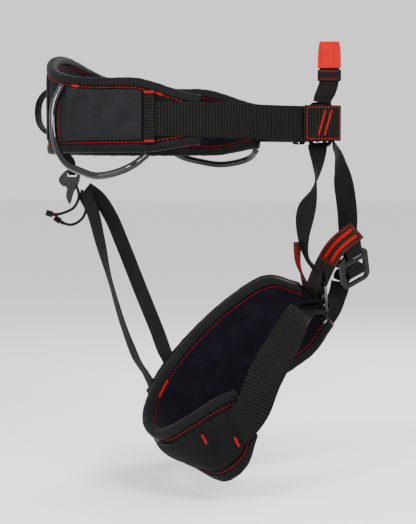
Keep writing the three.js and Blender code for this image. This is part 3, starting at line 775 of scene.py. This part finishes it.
def placed(centre, axes, points):
    """Points given in a buckle's own frame, moved to its centre and axes."""
    return [centre + axes[0] * p[0] + axes[1] * p[1] + axes[2] * p[2] for p in points]


def window_middle(length):
    """Middle of a buckle's lower window, between its middle and bottom bars."""
    return BOTTOM_BAR - length / 2 + (length - TOP_BAR - SLOT_HEIGHT - MIDDLE_BAR - BOTTOM_BAR) / 2


def wrap_line(bar, clear):
    """Route round a buckle's top bar and back, in the buckle's own frame."""
    return [(0, bar + 16, -clear), (0, bar + 5, -clear), (0, bar - 1.5, -clear), (0, bar - 5.6, 0),
            (0, bar - 1.5, clear), (0, bar + 5, clear), (0, bar + 20, clear)]


right_line = [belt_point(-WEB_START + (WEB_START - TIP) * k / 24, WEB_MIDDLE) for k in range(25)]
right_line.append(belt_point(TIP - 6, WEB_MIDDLE))
right_line += placed(buckle_centre, BUCKLE_AXES, wrap_line(WAIST_BAR, WRAP_CLEARANCE)[1:-1][::-1])
UP = (0, 0, 1)
waist_right = Strap(right_line, [UP] * len(right_line), BELT_WEBBING, 0.55)
tape("waist_web_right", waist_right, THICK, WEBBING, "across", RIB, 0.7, 10, "waist_belt",
     ["waist_webbing_right"])
WINDOW_Y = window_middle(WAIST_BUCKLE_LENGTH)
left_line = [belt_point(WEB_START + k, WEB_MIDDLE) for k in (0, 20, 40, 60, 80)]
left_line.append(belt_point(WEB_START + 100, 0))
inner_run = [(0, y, -THREAD_OFFSET) for y in (-58, -36, -16, WINDOW_Y)]
outer_run = [(x, y, -z) for x, y, z in inner_run[::-1]]
left_line += placed(buckle_centre, BUCKLE_AXES, inner_run + [(0, WINDOW_Y + 6, 0)] + outer_run)
left_line += [belt_point(TIP - back, TAIL_OFFSET) for back in (118, 132)]
waist_left = Strap(left_line, [UP] * len(left_line), BELT_WEBBING, 0.55)
tape("waist_web_left", waist_left, THICK, WEBBING, "across", RIB, 0.7, 10, "waist_belt",
     ["waist_webbing_left"])

CHANNEL_MIDDLE = -(TIP - CHANNEL_END - CHANNEL_LENGTH / 2)
channel_line = [belt_point(CHANNEL_MIDDLE + k, 9.3) for k in (-23, -15, -7, 0, 7, 15, 23)]
channel = Strap(channel_line, [UP] * len(channel_line), BELT_WEBBING + 1.5, 0.55)
tape("channel_cloth", channel, 2.0, WEBBING, "across", RIB, 0.6, 14, "waist_belt",
     ["front_channel"])
sling_line = [belt_point(CHANNEL_MIDDLE + k, SLING_OFFSET) for k in (-14, -7, 0, 7, 14)]
sling = Strap(sling_line, [UP] * len(sling_line), BELT_WEBBING + 2, 1.0)
tape("channel_sling", sling, 2 * THICK, WEBBING, "along", 3.0, 0.3, 14, "waist_belt",
     ["sling_in_channel"])
belt_out = belt_frame(CHANNEL_MIDDLE, 0, 0)[2]
face = 1.15 if channel.out[0].dot(belt_out) > 0 else -1.15
marks = []
for u in (-20, 20):
    marks += strap_line(channel, 3, channel.length - 2, u, u, face)
for s in (3, channel.length - 3):
    marks += strap_line(channel, s, s, -20, 20, face)
for s in (18, 26):
    marks += strap_bar(channel, s - 4, s + 5, 16, -16, face, 2.4)
dashes("channel_stitch", marks, 0.5, "waist_belt")


# ---- tie-in loop ----
LOOP_ACROSS = np.array([0.342, -0.94, 0])
LOOP_APART = np.array([0.94, 0.342, 0])
LOOP_HEIGHTS = (21.2, 27, 38, 50, 68, 86)
LOOP_LEAN = (3, 4, 9, 12, 12, 12)  # how far the loop leans to the front, by height
LOOP_APARTNESS = (1.6, 2, 3, 3.3, 3.4, 3.4)
LOOP_TOP = 96
LEAN = LOOP_LEAN[-1]
SHEATH_HEIGHTS = (65, 77, 88)
SHEATH_APART = 5.4
foot = belt_point(CHANNEL_MIDDLE, SLING_OFFSET)


def loop_point(z, lean, apart):
    """Point of the tie-in loop, apart from its middle plane on the side that the sign says."""
    point = foot + LOOP_ACROSS * lean + LOOP_APART * apart
    return np.array([point[0], point[1], z])


def up_and_over(levels, top):
    """Line up one side of the loop, over its top and down the other side."""
    up = [loop_point(z, lean, -apart) for z, lean, apart in levels]
    down = [loop_point(z, lean, apart) for z, lean, apart in levels[::-1]]
    return up + [loop_point(top, LEAN, 0)] + down


loop_line = up_and_over(list(zip(LOOP_HEIGHTS, LOOP_LEAN, LOOP_APARTNESS)), LOOP_TOP)
loop_across = [(0.6, -0.8, 0) if p[2] < 30 else tuple(LOOP_ACROSS) for p in loop_line]
tie_loop = Strap(loop_line, loop_across, SLING_WEBBING - 2.5, 0.7)
tape("tie_in_webbing", tie_loop, 1.8, DIAGONAL, "diagonal", DIAGONAL_RIB, 0.6, 30, "tie_in_loop",
     ["tie_in_loop_webbing"])
sheath_line = up_and_over([(z, LEAN, SHEATH_APART) for z in SHEATH_HEIGHTS], LOOP_TOP + 2.4)
sheath_widths = [29, 29, 28, 25, 28, 29, 29]
sheath = Strap(sheath_line, [tuple(LOOP_ACROSS)] * len(sheath_line), sheath_widths, 0.7)
tape("tie_in_sheath", sheath, 1.5, SHEATH, "along", 1.6, 0.12, 26, "tie_in_loop",
     ["tie_in_loop_sheath"])
marks = []
for u in (-11, 5):
    for offset in (0.8, -0.8):
        marks += strap_line(sheath, 1, 30, u, u, offset, 2.6, 1.8)
        marks += strap_line(sheath, sheath.length - 30, sheath.length - 1, u, u, offset, 2.6, 1.8)
dashes("sheath_stitch", marks, 0.4, "tie_in_loop")

keeper_centre = loop_point(56, LEAN, 0)
keeper_axes = (LOOP_ACROSS, LOOP_APART, np.array([0, 0, 1.0]))
flat_ring("tie_in_band", keeper_centre, keeper_axes, 29.5, 13.4, 14.5, WEBBING, "tie_in_loop",
          ["tie_in_keeper"], "along")
marks = []
for z in (-4.8, 4.8):
    for x in np.arange(-11.5, 12, 3.1):
        for sign in (1, -1):
            spot = keeper_centre + LOOP_ACROSS * x + LOOP_APART * sign * 6.9 + (0, 0, z)
            marks.append((spot, unit(LOOP_ACROSS), LOOP_APART * sign, 1.9))
dashes("keeper_stitch", marks, 0.4, "tie_in_loop")


# ---- waist buckle and the elastic band on its tail ----
tail_centre = placed(buckle_centre, BUCKLE_AXES, [(0, -46, 0)])[0]
tail_axes = (BUCKLE_AXES[0], BUCKLE_AXES[2], BUCKLE_AXES[1])
flat_ring("waist_tail_band", tail_centre, tail_axes, 50, 15.4, 12, ELASTIC, "waist_keeper",
          ["waist_tail_keeper"], "across")
dress("waist_buckle_frame", BUCKLE, 1.1)
dress("waist_slide_bar", CHROME, 0.5)


# ---- gear loops and haul loop ----
GEAR_LOOP = [(-116, 137, 46), (-121, 146, 22), (-125, 147, 0), (-132, 140, -30), (-142, 121, -55),
             (-154, 92, -67), (-164, 68, -72), (-166, 41, -68), (-162, 20, -59), (-147, 6, -45)]
LEFT_GEAR_SHIFT = -44  # the left gear loop sits a little further forward
LEFT_GEAR_DROP = 0.75  # and hangs less deep
LEFT_GEAR_LOOP = [(-x + (15 if k < 3 else 5), y + LEFT_GEAR_SHIFT, z * (LEFT_GEAR_DROP if z < 0 else 1))
                  for k, (x, y, z) in enumerate(GEAR_LOOP)]


def round_tube(name, points, radius, material, body, nodes):
    """Round tube along a curve, with a slight swell and a rounded tip at each end."""
    sides = 20
    line = Curve(points)
    fine = np.linspace(0, 1, 500)
    run = distances([line(t) for t in fine])
    sections, uvs = [], []
    normal = unit(np.cross(line.tangent(0), (0.3, 0.2, 1)))
    for s in np.linspace(0, run[-1], int(run[-1] / 1.5)):
        t = float(np.interp(s, run, fine))
        tangent = line.tangent(t)
        normal = unit(normal - tangent * normal.dot(tangent))
        other = np.cross(tangent, normal)
        end = min(s, run[-1] - s)
        swell = radius * (1 if end > 13 else 0.9 + 0.12 * math.sin(end * 0.9) ** 2)
        swell *= math.sqrt(min(1, 0.25 + end / 3))
        angles = 2 * np.pi * np.arange(sides) / sides
        sections.append(line(t) + np.outer(np.cos(angles) * swell, normal)
                        + np.outer(np.sin(angles) * swell, other))
        uvs.append(np.stack([angles * radius, np.full(sides, s)], 1))
    piece = rings(name, sections, uvs, [material])
    return finish_piece(piece, body, nodes)


for side, line in (("right", GEAR_LOOP), ("left", LEFT_GEAR_LOOP)):
    round_tube("gear_tube_" + side, line, 4.7, TUBE, "gear_loop_" + side,
               ["gear_loop_sheath_" + side, "gear_loop_cord_" + side])
haul = Strap([(0, 200.6, 44), (0, 206, 48), (0, 216, 45), (0, 227, 32), (0, 230, 17), (0, 227, 0),
              (0, 216, -12), (0, 206, -14), (0, 200.6, -10)], [(1, 0, 0)] * 9, 20, 0.7)
tape("haul_web", haul, 2.4, WEBBING, "herringbone", 2.8, 0.35, 20, "haul_loop",
     ["haul_loop"])


# ---- leg loops ----
LEG_STRAPS = {
    "right": {
        "buckle": ((-64, -146, -234), (0.95, 0.1, -0.29), (0.29, 0.03, 0.95)),
        "riser": [(-27, -141, -33), (-34, -140, -58), (-42, -136, -86), (-47, -125, -118),
                  (-47, -122, -150), (-50, -127, -178)],
        "riser_across": [(0.29, -0.957, 0), (0.8, -0.55, 0), (1, 0.1, 0), (0.5, 0.86, 0.1),
                         (0.85, 0.5, 0.2), (1, 0.15, 0)],
        "inner": [(-18, -142, -246), (-22, -136, -225), (-38, -122, -200), (-46, -115, -178),
                  (-45, -114, -156)],
        "inner_across": [(0, 1, 0.1), (0.3, 0.9, 0.3), (0.9, 0.1, 0.2), (0.95, -0.3, 0), (0.92, -0.38, 0)],
        "outer": [(-186, -52, -352), (-178, -68, -314), (-148, -94, -270), (-112, -112, -243)],
        "outer_widths": [45, 45, 42, 35],
        "outer_across": [(-0.15, 0.75, 0.6), (-0.1, 0.8, 0.55), (0.5, 0.65, 0.55), (0.8, 0.3, 0.5)],
        "rear": [(94, 171, -92), (86, 158, -118), (73, 147, -157), (49, 131, -213), (12, 112, -268),
                 (-14, 94, -308), (-28, 80, -329), (-35, 74, -339)],
        "rear_across": [(0, 0.9, -0.4), (0.3, 0.8, -0.4), (0.6, 0.7, -0.4), (0.9, 0.3, 0),
                        (0.9, 0.4, 0.2), (0.8, 0.5, 0.3), (0.8, 0.5, 0.3), (0.8, 0.5, 0.3)],
        "tail": [(86, 180, -83), (86, 176, -98), (87, 183, -114), (88, 199, -122), (88, 212, -124),
                 (88, 221, -121)],
        "landing": 0.425,
    },
    "left": {
        "buckle": ((44, -196, -195), (0.447, -0.8, 0.4), (-0.5, 0.15, 0.85)),
        "riser": [(-25, -161, -31), (-20, -164, -36.5), (-2, -172, -57), (13, -180, -92), (26, -185, -125),
                  (30, -186, -148)],
        "riser_across": [(0.97, -0.25, 0), (0.97, -0.25, 0), (0.8, -0.6, 0), (0.1, -1, 0), (0.05, -1, 0.1),
                         (0.3, -0.85, 0.3)],
        "inner": [(18, -143, -246), (16, -143, -220), (12, -152, -194), (8, -168, -166),
                  (8, -196, -142)],
        "inner_across": [(0, 1, 0.1), (0, 0.95, 0.3), (0, 0.8, 0.6), (0, 0.74, 0.67), (0, 0.74, 0.67)],
        "outer": [(182, -59, -352), (162, -88, -324), (130, -124, -296), (96, -156, -266),
                  (65, -174, -236)],
        "outer_widths": [45, 45, 44, 40, 32],
        "outer_across": [(0.15, 0.75, 0.6), (0.1, 0.7, 0.65), (-0.3, 0.6, 0.75), (-0.3, 0.7, 0.6),
                         (-0.4, 0.8, 0.1)],
        "rear": [(109, 168, -88), (105, 150, -102), (99, 133, -128), (94, 119, -160), (84, 92, -227),
                 (63, 70, -278), (27, 57, -306)],
        "rear_across": [(0, 0.9, -0.4), (0, 0.8, -0.6), (0, 0.85, -0.5), (0, 0.94, -0.34),
                        (0, 0.94, -0.34), (0.2, 0.9, -0.3), (0.3, 0.85, -0.3)],
        "tail": [(101, 174, -90), (102, 167, -108), (102, 172, -128), (102, 187, -138),
                 (102, 203, -134), (102, 211, -128)],
        "landing": 0.37,
    },
}
LEG_WINDOW_Y = window_middle(LEG_BUCKLE_LENGTH)
LEG_STEPS, LEG_ROWS = 96, 16
SLEEVED = (0.62, 0.68, 0.74, 0.8, 0.86, 0.92)
WEB_OFFSET = 2.7  # of the webbing inside the cuff
REAR_OFFSET = 3.2  # of the elastic where it is sewn to the pad


def leg_cushion(side, body):
    """Pad of a leg loop, with its bindings, edge stitches, cuff and tacks."""
    surface = leg_surface(side)
    leg_pad = pad(side + "_leg_pad", surface, 0, 1, LEG_STEPS, LEG_ROWS)
    puff(leg_pad, 0.8, LEG_ROWS, LEG_STEPS)
    finish_piece(leg_pad, body, [
        side + "_leg_outer_shell", side + "_leg_foam_core", side + "_leg_inner_lining"])
    for word, top in EDGES:
        binding("%s_leg_binding_%s" % (side, word), surface, 0, 1, 240, top, body,
                ["%s_leg_%s_binding" % (side, word)])
        for offset, place in ((0.7, "outside"), (-PAD_DEPTH - 0.7, "inside")):
            points, normals = edge_line(surface, 0.01, 0.99, top, 8.5, offset, 300)
            dashes("%s_leg_stitch_%s_%s" % (side, word, place), running(points, normals, 4.4, 2.5),
                   0.4, body)
    skin(side + "_leg_cuff", surface, 0.6, 0.93, 60, 20, 14, -14, 0.4, 7.4, body,
         [side + "_leg_sleeve"], SHELL, 13.0, 0.03)
    tacks = surface_bar(surface, 0.8, 0.8, 22, 34, 7.6, 3.0)
    tacks += surface_bar(surface, 0.9, 0.9, 22, 34, 7.6, 3.0, top=False)
    dashes(side + "_cuff_tacks", tacks, 0.5, body)
    tacks = surface_bar(surface, 0.395, 0.44, 7, 7, -PAD_DEPTH - 0.9, 3.4)
    dashes(side + "_edge_tack", tacks, 0.5, body)


def leg_riser(side, data, centre, axes):
    """Diagonal webbing from the waist belt to a leg buckle, round the buckle's top bar."""
    wrap = placed(centre, axes, wrap_line(LEG_BAR, WRAP_CLEARANCE))
    across = data["riser_across"] + [axes[0]] * len(wrap)
    riser = Strap(data["riser"] + wrap, across, SLING_WEBBING, 0.7, True)
    piece = tape(side + "_riser_web", riser, THICK, DIAGONAL, "diagonal", DIAGONAL_RIB, 0.7, 34, None,
                 [side + "_front_riser"])
    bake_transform(piece)


def inner_webbing(side, body, data):
    """Webbing sewn to the inner end of a leg pad, with boxed tacks on its upper half."""
    inner = Strap(data["inner"], data["inner_across"], SLING_WEBBING, 0.7, True)
    tape(side + "_inner_web", inner, THICK, PATCH, "diagonal", PATCH_RIB, 0.45, 34, body,
         [side + "_inner_webbing"])
    marks = []
    half = inner.length / 2
    for offset in (1.2, -1.2):
        for u in (-11.5, 11.5):
            marks += strap_line(inner, half + 4, inner.length - 2, u, u, offset, 2.6, 1.8)
        for s in (half + 4, inner.length - 2.5):
            marks += strap_line(inner, s, s, -11, 11, offset, 2.6, 1.8)
        for u in (-5, 5):
            marks += strap_bar(inner, half + 7, inner.length - 6, u, u, offset, 4.6, 0.9)
    dashes(side + "_inner_tacks", marks, 0.5, body)


def outer_webbing(side, body, data, centre, axes):
    """Webbing from inside the cuff to the leg buckle, through the buckle's lower window."""
    sleeved, sleeved_across = [], []
    for t in SLEEVED:
        low, high, out = leg_local(t, side)
        sleeved.append((low + high) / 2 + out * WEB_OFFSET)
        sleeved_across.append(unit(high - low))
    around_bar = ((-6, -20), (-6, -4), (-4.6, 4), (0, 6.4), (4.6, 4), (6, -4), (3, -32))
    thread = placed(centre, axes, [(0, LEG_WINDOW_Y + y, z) for y, z in around_bar])
    across = sleeved_across + data["outer_across"] + [axes[0]] * len(thread)
    widths = [BELT_WEBBING] * len(sleeved) + data["outer_widths"] + [30] * len(thread)
    outer = Strap(sleeved + data["outer"] + thread, across, widths, 0.6, True)
    tape(side + "_outer_web", outer, THICK, WEBBING, "across", RIB, 0.75, 12, body,
         [side + "_outer_webbing"])


def rear_elastic(side, body, data):
    """Elastic from the waist belt down to the back of a leg pad, with its tack."""
    line, line_across = list(data["rear"]), list(data["rear_across"])
    for further, depth in ((0, 4), (0.004, 16), (0.008, 30)):
        low, high, out = leg_local(data["landing"] + further, side)
        line.append(high - unit(high - low) * depth + out * REAR_OFFSET)
        line_across.append(unit(np.cross(out, high - low)) * (-1 if side == "right" else 1))
    rear = Strap(line, line_across, ELASTIC_WIDTH, 0.8, True)
    piece = tape(side + "_rear_elastic", rear, ELASTIC_THICKNESS, ELASTIC, "along", 1.9, 0.3, 30, None,
                 ["rear_riser_" + side])
    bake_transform(piece)
    marks = []
    for offset in (1.35, -1.35):
        marks += strap_bar(rear, rear.length - 26, rear.length - 26, -8, 8, offset, 3.2)
    dashes(side + "_rear_tack", marks, 0.5, body)


def rear_tail(side, data):
    """Round end of an elastic on the rear hook, with its tip and tack."""
    tail = Strap(data["tail"], [(1, 0, 0)] * len(data["tail"]), 6, 0.7, True)
    tape(side + "_rear_tail", tail, 4.4, ELASTIC, "along", 1.9, 0.35, 16, "hook",
         ["rear_tail_" + side])
    tip = Strap(data["tail"][-2:], [(1, 0, 0)] * 2, 10, 0.7, True)
    tape(side + "_tail_tip", tip, 9.0, ELASTIC, "along", 1.9, 0.4, 16, "hook")
    marks = []
    for offset in (2.3, -2.3):
        marks += strap_bar(tail, tail.length - 15, tail.length - 12, 0, 0, offset, 5.5)
    dashes(side + "_tail_tack", marks, 0.5, "hook")


for side, data in LEG_STRAPS.items():
    body = side + "_leg"
    centre, across, up = (np.array(v, float) for v in data["buckle"])
    y = unit(up)
    x = unit(across - y * across.dot(y))
    axes = (x, y, np.cross(x, y))
    leg_cushion(side, body)
    leg_riser(side, data, centre, axes)
    inner_webbing(side, body, data)
    outer_webbing(side, body, data, centre, axes)
    rear_elastic(side, body, data)
    rear_tail(side, data)
    dress(side + "_leg_buckle_frame", BUCKLE, 1.2)
    dress(side + "_leg_slide_bar", CHROME, 0.5)


# ---- rear hook ----
hook_axes = (np.array([0, 1.0, 0]), np.array([0, 0, 1.0]), np.array([1.0, 0, 0]))
hook_centre = np.array([102.0, 189, -80])
tab_line = placed(hook_centre, hook_axes, [
    (8, 46, -1), (5, 37, -1), (-1, 29, -2), (-2.5, 22, -3.4), (-2.5, 14.5, -4.6), (-2.5, 10.5, 0),
    (-2.5, 14.5, 4.6), (-2.5, 21, 3.8)])
tab = Strap(tab_line, [(0, 1, 0)] * len(tab_line), 11, 0.7, True)
tape("hook_tab", tab, 1.4, WEBBING, "across", 2.2, 0.2, 12, "waist_belt", ["drop_seat_tab"])
dress("drop_seat_hook", HOOK, 1.6, 4)


# ---- stage ----
FLOOR_LEVEL = -0.47
SPAN = 30.0
TARGET = Vector((0, -0.020, -0.186))
CAMERA_AWAY = 2.0

pale, shader = principled("pale floor", 0.9)
shader.inputs["Base Color"].default_value = (0.86, 0.86, 0.86, 1)
floor_mesh = bpy.data.meshes.new("floor")
floor_mesh.from_pydata([(-SPAN, -SPAN, 0), (SPAN, -SPAN, 0), (SPAN, SPAN, 0), (-SPAN, SPAN, 0)], [],
                       [(0, 1, 2, 3)])
floor = bpy.data.objects.new("floor", floor_mesh)
floor.location = (0, 0, FLOOR_LEVEL)
floor_mesh.materials.append(pale)
bpy.context.collection.objects.link(floor)

world = bpy.context.scene.world or bpy.data.worlds.new("studio")
bpy.context.scene.world = world
world.use_nodes = True
background = world.node_tree.nodes["Background"]
background.inputs["Color"].default_value = (1, 1, 1, 1)
background.inputs["Strength"].default_value = 1.15


def lamp(name, place, size, power):
    """Square area light, size metres wide, aimed at the target."""
    light = bpy.data.lights.new(name, "AREA")
    light.size = size
    light.energy = power
    obj = bpy.data.objects.new(name, light)
    obj.location = place
    obj.rotation_euler = (TARGET - Vector(place)).to_track_quat("-Z", "Y").to_euler()
    bpy.context.collection.objects.link(obj)


lamp("key", (-1.3, -1.5, 1.3), 0.9, 60)
lamp("fill", (-1.9, 1.0, 0.4), 1.2, 20)
lamp("strip", (-2.0, 0.1, 0.75), 0.42, 42)
lamp("rim", (1.5, -0.6, 0.9), 0.8, 35)

azimuth, elevation = math.radians(20), math.radians(3)
forward = Vector((math.cos(azimuth) * math.cos(elevation), math.sin(azimuth) * math.cos(elevation),
                  -math.sin(elevation)))
camera_data = bpy.data.cameras.new("camera")
camera_data.sensor_width = 36
camera_data.lens = 103.05
camera = bpy.data.objects.new("camera", camera_data)
camera.location = TARGET - forward * CAMERA_AWAY
camera.rotation_euler = forward.to_track_quat("-Z", "Y").to_euler()
bpy.context.collection.objects.link(camera)
bpy.context.scene.camera = camera
